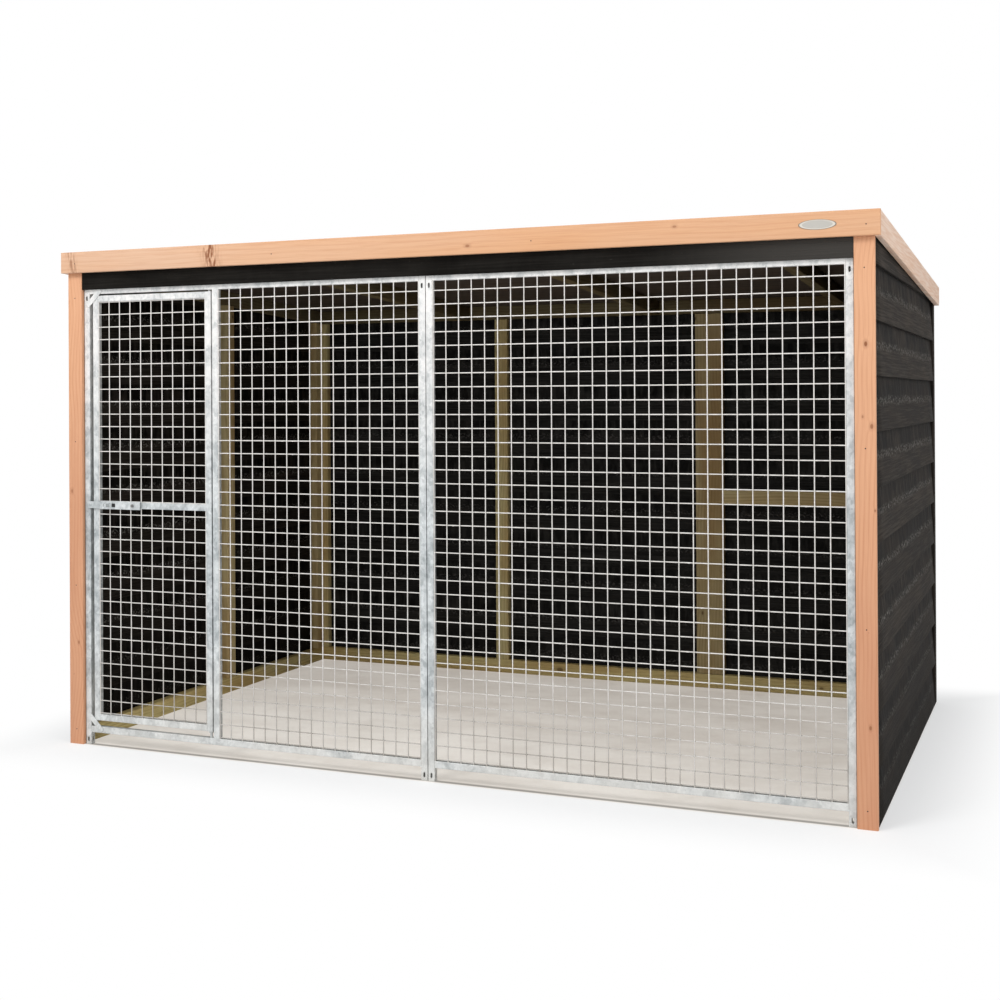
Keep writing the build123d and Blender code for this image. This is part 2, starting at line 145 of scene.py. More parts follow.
class Graph:
    """Adds nodes to one tree."""

    def __init__(self, tree: bpy.types.NodeTree) -> None:
        """Empties the tree.

        Args:
            tree: the tree that takes the nodes.
        """
        self.tree = tree
        self.tree.nodes.clear()

    def node(self, kind: str, settings: dict | None = None,
             inputs: dict | None = None) -> bpy.types.Node:
        """Adds a node.

        Args:
            kind: the node's type.
            settings: attributes set before the sockets.
            inputs: values or links by socket name or index.

        Returns:
            The node.
        """
        made = self.tree.nodes.new(kind)
        for key, value in (settings or {}).items():
            setattr(made, key, value)
        for key, value in (inputs or {}).items():
            self._feed(made.inputs[key], value)
        return made

    def _feed(self, socket: Socket, value: object) -> None:
        """Links or sets an input.

        Args:
            socket: the input socket.
            value: a Value, an output socket, a number or a tuple.
        """
        if isinstance(value, Value):
            self.tree.links.new(value.socket, socket)
        elif isinstance(value, Socket):
            self.tree.links.new(value, socket)
        elif isinstance(value, tuple) and len(value) == 3 and socket.type == "RGBA":
            socket.default_value = (*value, 1.0)
        else:
            socket.default_value = value

    def maths(self, operation: str, a: Value | float, b: Value | float = 0.0) -> Value:
        """Adds a Math node for an expression."""
        made = self.node("ShaderNodeMath", {"operation": operation}, {0: a, 1: b})
        return Value(self, made.outputs[0])

    def seen_by(self, *kinds: str) -> Value:
        """1 for rays of the kinds given, or else 0.

        Args:
            kinds: the rays' kinds, such as Camera or Glossy.

        Returns:
            The mask.
        """
        ray = self.node("ShaderNodeLightPath")
        first, *others = (Value(self, ray.outputs[f"Is {kind} Ray"]) for kind in kinds)
        for other in others:
            first = self.maths("MAXIMUM", first, other)
        return first

    def mixed_shader(self, factor: Value, a: bpy.types.Node, b: bpy.types.Node) -> Socket:
        """Mixes two shaders: factor 0 gives a, 1 gives b."""
        inputs = {0: factor, 1: a.outputs[0], 2: b.outputs[0]}
        return self.node("ShaderNodeMixShader", None, inputs).outputs[0]


class Shader(Graph):
    """Builds the nodes of one material."""

    def __init__(self, name: str) -> None:
        """Starts an empty material.

        Args:
            name: the material's name.
        """
        self.material = bpy.data.materials.new(name)
        self.material.use_nodes = True
        super().__init__(self.material.node_tree)

    def point(self) -> tuple[Value, Value, Value]:
        """The surface point in the piece's own space.

        Returns:
            Its three coordinates in metres.
        """
        coords = self.node("ShaderNodeTexCoord")
        split = self.node("ShaderNodeSeparateXYZ", None, {0: coords.outputs["Object"]})
        return tuple(Value(self, split.outputs[k]) for k in range(3))

    def vector(self, x: Value | float, y: Value | float, z: Value | float) -> Socket:
        """Three values as one vector."""
        return self.node("ShaderNodeCombineXYZ", None, {0: x, 1: y, 2: z}).outputs[0]

    def clouds(self, place: Socket, scale: float = 1.0, detail: float = 2.0) -> Value:
        """Fractal noise from 0 to 1, about 0.5 on average.

        Args:
            place: where it is read.
            scale: cycles per metre.
            detail: octaves.

        Returns:
            The noise.
        """
        made = self.node(
            "ShaderNodeTexNoise", None, {"Vector": place, "Scale": scale, "Detail": detail}
        )
        return Value(self, made.outputs["Fac"])

    def cells(self, place: Socket, scale: float, settings: dict | None = None) -> bpy.types.Node:
        """Voronoi cells, whose distance, colour and position can be read."""
        return self.node("ShaderNodeTexVoronoi", settings, {"Vector": place, "Scale": scale})

    def ease(self, value: Value, low: float, high: float) -> Value:
        """Smooth step: 0 at low, 1 at high, which may be the smaller one."""
        made = self.node(
            "ShaderNodeMapRange", {"interpolation_type": "SMOOTHSTEP"},
            {"Value": value, "From Min": low, "From Max": high},
        )
        return Value(self, made.outputs[0])

    def blend(self, factor: Value | float, a: object, b: object) -> Socket:
        """Mixes two colours.

        Args:
            factor: 0 gives a, 1 gives b.
            a: first colour.
            b: second colour.

        Returns:
            The mixed colour's socket.
        """
        settings = {"data_type": "RGBA", "blend_type": "MIX"}
        return self.node("ShaderNodeMix", settings, {0: factor, 6: a, 7: b}).outputs[2]

    def relief(self, height: Value, depth: float, strength: float = 1.0) -> Socket:
        """Bump from a height of 0 to 1, whose depth is in metres."""
        made = self.node(
            "ShaderNodeBump", None, {"Height": height, "Distance": depth, "Strength": strength}
        )
        return made.outputs[0]

    def surface(self, inputs: dict) -> Material:
        """Ends the material in a Principled shader.

        Args:
            inputs: the shader's sockets.

        Returns:
            The finished material.
        """
        made = self.node("ShaderNodeBsdfPrincipled", None, inputs)
        self.node("ShaderNodeOutputMaterial", None, {0: made.outputs[0]})
        return self.material


# Finishes


@dataclass(frozen=True)
class Knot:
    """A knot in a board: its place along and across it, its radius, how dark it is and whether it
    lies open across the whole board as a spike."""

    along: float
    across: float
    radius: float
    depth: float = 0.8
    spike: bool = False


@dataclass(frozen=True)
class PlanedTimber:
    """Planed softwood with rings, fibres, knots and a slow change of tone along the board."""

    name: str
    grain: Axis
    across: Axis
    pale: Colour
    late: Colour
    warm: Colour
    knot: Colour
    knots: tuple[Knot, ...] = ()
    ring_pitch: float = 0.0085
    roughness: float = 0.55
    seed: float = 0.0
    contrast: float = 0.55
    sweep: float = 0.13
    lean: tuple[float, float] = (0.0, 0.0)
    bleach: float = 0.0
    bleached: Colour = (0.83, 0.68, 0.58)

    def material(self) -> Material:
        """Builds the timber's material.

        Returns:
            The finished material.
        """
        s = Shader(self.name)
        point = s.point()
        along = point[self.grain.value]
        across = point[self.across.value]
        deep = point[3 - self.grain.value - self.across.value]
        wander = s.clouds(s.vector(along * 0.8 + self.seed, across * 0.6, deep), 1.0, 2.0) - 0.5
        flow = s.clouds(s.vector(along * 2.2, across * 16, deep * 16 + self.seed), 1.0, 3.0) - 0.5
        core, bend = self._knotting(s, along, across, deep)
        ring = across + deep * 0.4 + wander * self.sweep + flow * 0.007 + bend
        bands = s.maths("SINE", ring * (2 * math.pi / self.ring_pitch)) * 0.5 + 0.5
        late = bands ** 3.2
        fibres = s.clouds(s.vector(along * 7, across * 420, deep * 420), 1.0, 2.0)
        tone = s.clouds(s.vector(along * 1.3 + self.seed, across * 9, deep * 9), 1.0, 2.0)
        ripe = s.ease(tone, 0.3, 0.72)
        if self.lean[0] != self.lean[1]:
            ripe = ripe * 0.4 + s.ease(along, *self.lean) * 0.6
        body = s.blend(ripe, self.pale, self.warm)
        body = s.blend(late * self.contrast * s.ease(flow, -0.3, 0.25), body, self.late)
        body = s.blend(s.ease(fibres, 0.42, 0.78) * 0.3, body, self.late)
        body = s.blend(core, body, self.knot)
        if self.bleach:
            scuff = s.clouds(s.vector(along * 5, across * 150, deep * 30), 1.0, 4.0)
            worn = (s.ease(scuff, 0.36, 0.66) * 0.6 + 0.4) * self.bleach
            body = s.blend(worn, body, self.bleached)
        height = late * 0.5 + fibres * 0.5 - core * 0.3
        return s.surface({
            "Base Color": body,
            "Roughness": self.roughness + fibres * 0.12,
            "Specular IOR Level": 0.2,
            "Normal": s.relief(height, 0.0005, 0.8),
        })

    def _knotting(self, s: Shader, along: Value, across: Value, deep: Value) -> tuple[Value, Value]:
        """Darkness of all the board's knots and how far they bend its rings.

        Args:
            s: the shader.
            along: place along the board.
            across: place across the board.
            deep: place through the board.

        Returns:
            The darkness, 0 to 1, and the shift of the rings in metres.
        """
        splits = s.clouds(s.vector(along * 120, across * 22, deep * 22), 1.0, 3.0)
        breaks = s.ease(splits, 0.4, 0.56)
        core, shift = self._scattered_knots(s, along, across)
        core = core * 0.75
        for knot in self.knots:
            slant, reach = (0.22, 0.07) if knot.spike else (0.0, 1.0)
            beside = across - knot.across
            ahead = along - knot.along + beside * slant
            spread, bend = self._knot_field(s, ahead, beside * reach, knot.radius)
            if knot.spike:
                spread = spread * breaks
            shift = shift + bend
            core = s.maths("MAXIMUM", core, spread * knot.depth)
        return core, shift

    def _knot_field(self, s: Shader, da: Value, dc: Value,
                    radius: float | Value) -> tuple[Value, Value]:
        """Darkness of a knot and how far it bends the rings round it.

        Args:
            s: the shader.
            da: distance along the board.
            dc: distance across the board.
            radius: the knot's radius.

        Returns:
            The knot's darkness, 0 to 1, and the shift of the rings in metres.
        """
        far = s.maths("SQRT", da * da * 0.35 + dc * dc) / radius
        near = s.ease(far, 3.6, 0.6)
        spread = s.ease(far, 1.2, 0.5)
        halo = s.ease(far, 2.2, 1.0) * 0.25
        return s.maths("MAXIMUM", spread, halo), near * dc * 0.9

    def _scattered_knots(self, s: Shader, along: Value, across: Value) -> tuple[Value, Value]:
        """Small knots, about one in every length and width of a board, some of them left out.

        Args:
            s: the shader.
            along: place along the board.
            across: place across the board.

        Returns:
            The knots' darkness, 0 to 1, and the shift of the rings in metres.
        """
        length = 0.36
        width = 0.075
        place = s.vector(along / length + self.seed, across / width + self.seed, 0.0)
        cell = s.cells(place, 1.0, {"voronoi_dimensions": "2D"})
        split = s.node("ShaderNodeSeparateXYZ", None, {0: cell.outputs["Position"]})
        kept = s.node("ShaderNodeSeparateColor", None, {0: cell.outputs["Color"]})
        da = along - (Value(s, split.outputs[0]) - self.seed) * length
        dc = across - (Value(s, split.outputs[1]) - self.seed) * width
        size = s.ease(Value(s, kept.outputs[0]), 0.7, 1.0) * 0.006 + 0.0003
        return self._knot_field(s, da, dc, size)


@dataclass(frozen=True)
class StainedBoards:
    """Softwood under a dark stain: sawn upper part, smoother lower part, pale specks between."""

    name: str
    grain: Axis
    pitch: float = 0.0
    first: float = 0.0
    dark: Colour = (0.005, 0.0043, 0.0037)
    grey: Colour = (0.057, 0.047, 0.039)
    speck: Colour = (0.15, 0.14, 0.128)
    foot: float = 0.6
    step: float = 0.3
    # lean: span along the board over which it turns lighter, a painted sheen on the header
    lean: tuple[float, float] = (0.0, 0.0)

    def material(self) -> Material:
        """Builds the stained boards' material.

        Returns:
            The finished material.
        """
        s = Shader(self.name)
        point = s.point()
        along = point[self.grain.value]
        up = point[2] if self.grain is not Axis.Z else point[0]
        geometry = s.node("ShaderNodeNewGeometry")
        island = Value(s, geometry.outputs["Random Per Island"])
        sawn = s.clouds(s.vector(along * 42 + island * 9, up * 9, island * 31), 1.0, 4.0)
        fibres = s.clouds(s.vector(along * 4, up * 170, island * 17), 1.0, 4.0)
        blotch = s.clouds(s.vector(along * 4 + island * 3, up * 14, island * 11), 1.0, 4.0)
        smooth = blotch * 0.4 + 0.6
        line = blotch * 0.0
        if self.pitch:
            wobble = (s.clouds(s.vector(along * 3, island * 20, 0.0), 1.0, 2.0) - 0.5) * 0.12
            height = s.maths("FRACT", (up - self.first) / self.pitch) + wobble
            smooth = s.ease(height, 0.62, 0.5)
            line = s.ease(height, 0.68, 0.58) * s.ease(height, 0.44, 0.54)
        mark = s.ease(sawn, 0.4, 0.64) * (1 - smooth) + s.ease(fibres, 0.36, 0.68) * smooth
        tone = s.ease(blotch, 0.36, 0.66)
        body = s.blend(mark * 0.4 + tone * 0.3 + (smooth - 0.3) * self.step, self.dark, self.grey)
        # painted sheen: lighter towards one end of the board
        if self.lean[0] != self.lean[1]:
            body = s.blend(s.ease(along, *self.lean) * 0.4, body, self.speck)
        body = s.blend(island * 0.35, body, self.dark)
        dots = s.clouds(s.vector(along * 90, up * 110, island * 7), 1.0, 2.0)
        body = s.blend(s.ease(dots, 0.5, 0.66) * line * 0.8, body, self.speck)
        body = s.blend(s.ease(dots, 0.68, 0.8) * 0.12, body, self.speck)
        if self.pitch:
            body = s.blend(s.ease(up, 0.75, 0.05) * self.foot, body, self.dark)
        return s.surface({
            "Base Color": body,
            "Roughness": 0.66 + blotch * 0.22,
            "Specular IOR Level": 0.04,
            "Normal": s.relief(mark * 0.7 + dots * 0.3, 0.0012, 0.9),
        })


@dataclass(frozen=True)
class Zinc:
    """Hot-dip galvanising: spangle, dull patches, fine pits, lighter towards the top and darker
    towards the bottom.

    The stains are painted shade: dark spans along X, at the latch's height, from one depth along Y
    on, where the hole and the slot show the bar, in the tab's shadow and along the cover's top and
    bottom edges.
    """

    name: str
    spangle: float = 0.01
    bright: Colour = (0.66, 0.69, 0.695)
    dull: Colour = (0.33, 0.36, 0.37)
    high_tone: Colour = (0.83, 0.815, 0.795)
    low_tone: Colour = (0.72, 0.695, 0.65)
    low_tone_share: float = 0.6
    metallic: float = 0.25
    roughness: float = 0.38
    stains: tuple[tuple[float, float], ...] = ()
    behind: float = -9.0
    latch_height: float = 0.9665
    painted_shade: Colour = (0.016, 0.015, 0.014)

    def material(self) -> Material:
        """Builds the zinc's material.

        Returns:
            The finished material.
        """
        s = Shader(self.name)
        x, y, z = s.point()
        place = s.vector(x, y, z * 0.8)
        shards = s.cells(place, 1 / self.spangle, {"feature": "F1"})
        shade = s.node("ShaderNodeSeparateColor", None, {0: shards.outputs["Color"]})
        cell = Value(s, shade.outputs[0])
        patches = s.clouds(place, 24.0, 6.0)
        low_mottle = s.clouds(s.vector(x * 5, y * 5, z * 3), 1.0, 4.0)
        pits = s.clouds(place, 300.0, 3.0)
        mask = s.ease(patches, 0.34, 0.64) * 0.65 + (cell - 0.5) * 0.45 + 0.16
        body = s.blend(mask, self.bright, self.dull)
        # lighter towards the top
        body = s.blend(s.ease(z, 0.85, 1.7) * (0.95 - mask * 0.55), body, self.high_tone)
        # darker towards the bottom, mottled; on the wire this darker foot is painted shade
        low = s.ease(z, 0.5, 0.05) * self.low_tone_share
        body = s.blend(low * (s.ease(low_mottle, 0.3, 0.6) * 0.6 + 0.4), body, self.low_tone)
        body = s.blend(s.ease(pits, 0.6, 0.76) * 0.5, body, self.dull)
        # painted shade on the latch: dark spans in its hole and slot, the tab's shadow and the
        # cover's edges
        for start, end in self.stains:
            far = s.maths("ABSOLUTE", x - (start + end) / 2) / ((end - start) / 2)
            tall = s.maths("ABSOLUTE", z - self.latch_height)
            hidden = s.ease(y, self.behind, self.behind + 0.0006) * s.ease(tall, 0.0095, 0.008)
            body = s.blend(s.ease(far, 1.0, 0.85) * hidden, body, self.painted_shade)
        return s.surface({
            "Base Color": body,
            "Metallic": self.metallic + (cell - 0.5) * 0.16,
            "Roughness": self.roughness + patches * 0.22 + cell * 0.07,
            "Normal": s.relief(patches * 0.6 + pits * 0.4, 0.0003, 0.7),
        })


@dataclass(frozen=True)
class RoofRubber:
    """Dark rubber sheet with low ripples, dust and a lapped seam."""

    name: str
    seam: float
    dark: Colour = (0.035, 0.036, 0.038)
    dust: Colour = (0.13, 0.125, 0.115)

    def material(self) -> Material:
        """Builds the roof sheet's material.

        Returns:
            The finished material.
        """
        s = Shader(self.name)
        x, y, z = s.point()
        flat = s.vector(x, y, 0.0)
        ripples = s.clouds(s.vector(x * 1.6, y * 3.4, z), 1.0, 3.0)
        dust = s.clouds(flat, 3.0, 6.0)
        fine = s.clouds(flat, 260.0, 2.0)
        lap = s.ease(x, self.seam - 0.002, self.seam + 0.002)
        band = lap * s.ease(x, self.seam + 0.08, self.seam + 0.076)
        body = s.blend(s.ease(dust, 0.4, 0.75) * 0.7, self.dark, self.dust)
        body = s.blend(band * 0.25, body, self.dark)
        height = ripples * 0.5 + fine * 0.04 + band * 0.3
        return s.surface({
            "Base Color": body,
            "Roughness": 0.58 + dust * 0.25,
            "Normal": s.relief(height, 0.004, 0.5),
        })


@dataclass(frozen=True)
class RoofBoards:
    """Underside of the roof: brown boards that run along the front, with open joints."""

    name: str
    width: float = 0.145
    brown: Colour = (0.075, 0.05, 0.034)
    deep: Colour = (0.03, 0.022, 0.016)

    def material(self) -> Material:
        """Builds the boarding's material.

        Returns:
            The finished material.
        """
        s = Shader(self.name)
        x, y, z = s.point()
        row = s.maths("FLOOR", y / self.width)
        edge = s.maths("FRACT", y / self.width)
        joint = s.maths("MAXIMUM", s.ease(edge, 0.03, 0.008), s.ease(edge, 0.97, 0.992))
        fibres = s.clouds(s.vector(x * 3, y * 90, row * 5.3), 1.0, 4.0)
        tone = s.clouds(s.vector(x * 0.7, row * 7.7, z), 1.0, 1.0)
        body = s.blend(s.ease(fibres, 0.35, 0.7), self.brown, self.deep)
        body = s.blend(s.ease(tone, 0.35, 0.65) * 0.5, body, self.brown)
        body = s.blend(joint, body, (0.006, 0.005, 0.004))
        return s.surface({
            "Base Color": body,
            "Roughness": 0.7 + fibres * 0.15,
            "Normal": s.relief(fibres * 0.3 + (1 - joint) * 0.7, 0.002, 0.6),
        })


@dataclass(frozen=True)
class PlateMetal:
    """Satin metal of the bare oval plate: a grey field, a paler line round it and a dark edge."""

    name: str
    centre: tuple[float, float]
    half: tuple[float, float]
    rim: Colour = (0.2, 0.18, 0.15)
    field: Colour = (0.43, 0.415, 0.38)
    line: Colour = (0.62, 0.59, 0.53)

    def material(self) -> Material:
        """Builds the plate's material.

        Returns:
            The finished material.
        """
        s = Shader(self.name)
        x, y, z = s.point()
        brushed = s.clouds(s.vector(x * 30, y * 900, z * 900), 1.0, 2.0)
        blotch = s.clouds(s.vector(x, y, z), 60.0, 2.0)
        u = (x - self.centre[0]) / self.half[0]
        v = (z - self.centre[1]) / self.half[1]
        out = s.maths("SQRT", u * u + v * v)
        body = s.blend(brushed * 0.5 + blotch * 0.3, self.field, (0.52, 0.5, 0.46))
        body = s.blend(s.ease(out, 0.78, 0.82), body, self.line)
        body = s.blend(s.ease(out, 0.92, 0.97), body, self.rim)
        return s.surface({
            "Base Color": body,
            "Metallic": 0.35,
            "Roughness": 0.42 + brushed * 0.2,
            "Normal": s.relief(brushed, 0.0001, 0.5),
        })


@dataclass(frozen=True)
class StudioFloor:
    """Pale warm floor that keeps the shadow near the run and fades into the white round it; inside
    the run it has painted shade, darker towards the back and right, and a painted shadow line along
    the front.
    """

    name: str = "studio_floor"
    shade: Colour = (1.0, 0.95, 0.88)
    patch_and_shade: Colour = (0.72, 0.655, 0.585)
    cool: Colour = (0.945, 0.95, 0.955)
    # edge: colour of the painted shadow line along the front of the run
    edge: Colour = (0.12, 0.11, 0.1)
    reach: tuple[float, float] = (1.575, 1.08)
    fade_from: float = -0.03
    fade_to: float = 0.45
    lift: float = 0.52

    def material(self) -> Material:
        """Builds the floor's material.

        Returns:
            The finished material.
        """
        s = Shader(self.name)
        x, y, z = s.point()
        beside = s.maths("ABSOLUTE", x) - self.reach[0]
        away = s.maths("MAXIMUM", beside, s.maths("ABSOLUTE", y) - self.reach[1])
        outside = s.ease(away, self.fade_from, self.fade_to)
        cool = s.ease(away, -0.02, 0.008)
        mottle = s.clouds(s.vector(x, y * 1.8, z), 2.2, 7.0)
        stains = s.clouds(s.vector(x, y, z + 4.0), 9.0, 4.0)
        # painted shade: the floor darkens towards the back and right of the run, under the roof
        back = s.ease(y + x * 0.16, -0.85, 0.5)
        # worn mixes mottled patches with that painted shade
        worn = s.ease(mottle, 0.36, 0.66) * 0.34 + s.ease(stains, 0.48, 0.7) * 0.16 + back * 0.5
        # painted shadow: a thin dark line along the front of the run, under the bottom rail
        line = s.ease(away, -0.05, -0.028) * s.ease(away, -0.008, -0.02) * s.ease(y, -0.9, -1.0)
        body = s.blend(worn, self.shade, self.patch_and_shade)
        body = s.blend(line * 0.7, body, self.edge)
        body = s.blend(cool, body, self.cool)
        glow = s.blend(outside, body, WHITE)
        plain = s.node("ShaderNodeBsdfPrincipled", None, {
            "Base Color": body, "Roughness": 0.7 + mottle * 0.1, "Specular IOR Level": 0.2,
        })
        lit = s.node("ShaderNodeBsdfPrincipled", None, {
            "Base Color": BLACK, "Roughness": 1.0, "Specular IOR Level": 0.0,
            "Emission Color": glow, "Emission Strength": 1.0,
        })
        fade = (outside * (1 - self.lift) + self.lift) * s.seen_by("Camera", "Glossy")
        s.node("ShaderNodeOutputMaterial", None, {0: s.mixed_shader(fade, plain, lit)})
        return s.material


# Mesh building


class Mesher:
    """Collects corners and faces of one piece."""

    def __init__(self) -> None:
        """Starts with nothing."""
        self.corners: list[Vector] = []
        self.faces: list[tuple[int, ...]] = []

    def ring(self, centre: Vector, u: Vector, v: Vector, sides: int) -> int:
        """Adds a ring of corners.

        Args:
            centre: its middle.
            u: from the middle to the first corner.
            v: from the middle to the ring's quarter.
            sides: how many corners.

        Returns:
            The first corner's number.
        """
        first = len(self.corners)
        for j in range(sides):
            turn = 2 * math.pi * j / sides
            self.corners.append(centre + u * math.cos(turn) + v * math.sin(turn))
        return first

    def bridge(self, a: int, b: int, sides: int) -> None:
        """Adds the faces between two rings, given by their first corners."""
        for j in range(sides):
            n = (j + 1) % sides
            self.faces.append((a + j, a + n, b + n, b + j))

    def tube(self, path: list[Vector], radii: list[float], side: Vector, sides: int = 10) -> None:
        """Adds a closed round bar along a path.

        Args:
            path: centre points.
            radii: a radius at each point.
            side: a direction square to the path.
            sides: faces round the bar.
        """
        rings = []
        for k, (centre, radius) in enumerate(zip(path, radii)):
            ahead = (path[min(k + 1, len(path) - 1)] - path[max(k - 1, 0)]).normalized()
            other = ahead.cross(side).normalized()
            rings.append(self.ring(centre, side * radius, other * radius, sides))
        for a, b in zip(rings, rings[1:]):
            self.bridge(a, b, sides)
        self.faces.append(tuple(rings[0] + j for j in reversed(range(sides))))
        self.faces.append(tuple(rings[-1] + j for j in range(sides)))

    def loop(self, path: list[Vector], radii: list[float], sides: int = 7) -> None:
        """Adds a bead round a closed path.

        Args:
            path: centre points of the loop.
            radii: a radius at each point.
            sides: faces round the bead.
        """
        normal = (path[1] - path[0]).cross(path[2] - path[1])
        if normal.length < 1e-12:
            normal = (path[1] - path[0]).cross(path[len(path) // 2] - path[0])
        normal.normalize()
        rings = []
        for k, (centre, radius) in enumerate(zip(path, radii)):
            ahead = (path[(k + 1) % len(path)] - path[k - 1]).normalized()
            outward = ahead.cross(normal).normalized()
            rings.append(self.ring(centre, normal * radius, outward * radius, sides))
        for a, b in zip(rings, rings[1:] + rings[:1]):
            self.bridge(a, b, sides)

    def nugget(self, centre: Vector, half: Vector, sides: int = 8, rings: int = 3) -> None:
        """Adds a small rounded lump.

        Args:
            centre: its middle.
            half: half its size along X, Y and Z.
            sides: faces round it.
            rings: rings of corners between its poles.
        """
        top = len(self.corners)
        self.corners.append(centre + Vector((0, 0, half.z)))
        first = top + 1
        for k in range(rings):
            tilt = math.pi * (k + 1) / (rings + 1)
            flat = math.sin(tilt)
            middle = centre + Vector((0, 0, half.z * math.cos(tilt)))
            self.ring(middle, Vector((half.x * flat, 0, 0)), Vector((0, half.y * flat, 0)), sides)
        last = len(self.corners)
        self.corners.append(centre - Vector((0, 0, half.z)))
        for j in range(sides):
            n = (j + 1) % sides
            self.faces.append((top, first + j, first + n))
            self.faces.append((last - sides + j, last, last - sides + n))
        for k in range(rings - 1):
            self.bridge(first + (k + 1) * sides, first + k * sides, sides)

    def piece(self, name: str, smooth_angle: float = 40.0) -> bpy.types.Object:
        """Makes the object.

        Args:
            name: the piece's name.
            smooth_angle: edges sharper than this, in degrees, stay sharp.

        Returns:
            The new object.
        """
        mesh = bpy.data.meshes.new(name)
        mesh.from_pydata([tuple(c) for c in self.corners], [], self.faces)
        mesh.update()
        return as_piece(name, mesh, smooth_angle)


def as_piece(name: str, mesh: bpy.types.Mesh, smooth_angle: float) -> bpy.types.Object:
    """Links a mesh as an object and shades it.

    Args:
        name: the piece's name.
        mesh: its mesh.
        smooth_angle: edges sharper than this, in degrees, stay sharp.

    Returns:
        The object.
    """
    for face in mesh.polygons:
        face.use_smooth = True
    mesh.set_sharp_from_angle(angle=math.radians(smooth_angle))
    made = bpy.data.objects.new(name, mesh)
    bpy.context.scene.collection.objects.link(made)
    return made


def dress(piece: bpy.types.Object, material: Material) -> None:
    """Gives a piece or a carried-over node its material.

    Args:
        piece: the piece or node.
        material: its material.
    """
    if not piece.material_slots:
        piece.data.materials.append(material)
    for place in piece.material_slots:
        place.material = material


def corners(node: str) -> tuple[Vector, Vector]:
    """Lowest and highest corner of a CAD node."""
    low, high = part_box(node)
    return Vector(low), Vector(high)


def fit(piece: bpy.types.Object, body: Body, slot: Slot, *nodes: str) -> None:
    """Puts a piece on its body and hides the CAD nodes that it stands for.

    Args:
        piece: the new piece.
        body: the body that it rides on.
        slot: not used.
        nodes: CAD nodes that it replaces.
    """
    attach(piece, body.value)
    if nodes:
        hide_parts(*nodes)
    log.info("%s on %s", piece.name, body.value)


def eased_copy(node: str, radius: float, segments: int = 2, cuts: float = 0.0,
               waver: float = 0.0) -> bpy.types.Object:
    """A node's shape with rounded edges, and its long edges a little uneven where asked.

    Args:
        node: the CAD node.
        radius: radius of its rounded edges.
        segments: faces across each rounded edge.
        cuts: spacing of the rings along its length that carry the unevenness, or 0 for none.
        waver: how far the lower edges wander.

    Returns:
        The new piece.
    """
    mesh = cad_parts[node].data.copy()
    mesh.materials.clear()
    shape = bmesh.new()
    shape.from_mesh(mesh)
    bmesh.ops.remove_doubles(shape, verts=shape.verts, dist=1e-5)
    bmesh.ops.dissolve_limit(
        shape, angle_limit=FLAT, verts=shape.verts[:], edges=shape.edges[:]
    )
    sharp = [e for e in shape.edges if len(e.link_faces) == 2 and e.calc_face_angle(0) > SHARP]
    bmesh.ops.bevel(
        shape, geom=sharp, offset=radius, segments=segments, profile=0.5, affect="EDGES",
        clamp_overlap=True,
    )
    if cuts:
        ring_cut(shape, cuts)
        for corner in shape.verts:
            reading = noise.noise(corner.co * 3.1 + Vector((len(node), 0, 0)))
            corner.co.z += waver * reading
    shape.to_mesh(mesh)
    shape.free()
    return as_piece(f"{node}_dressed", mesh, 35.0)


def ring_cut(shape: bmesh.types.BMesh, spacing: float) -> None:
    """Cuts a shape into rings along its longest horizontal side.

    Args:
        shape: the shape to cut.
        spacing: distance between cuts.
    """
    low = Vector([min(v.co[k] for v in shape.verts) for k in range(3)])
    high = Vector([max(v.co[k] for v in shape.verts) for k in range(3)])
    axis = 0 if high.x - low.x > high.y - low.y else 1
    count = int((high[axis] - low[axis]) / spacing)
    normal = Vector((1, 0, 0)) if axis == 0 else Vector((0, 1, 0))
    for k in range(1, count):
        place = low + normal * (k * (high[axis] - low[axis]) / count)
        bmesh.ops.bisect_plane(
            shape, geom=shape.verts[:] + shape.edges[:] + shape.faces[:], plane_co=place,
            plane_no=normal,
        )


# The run's sub-assemblies


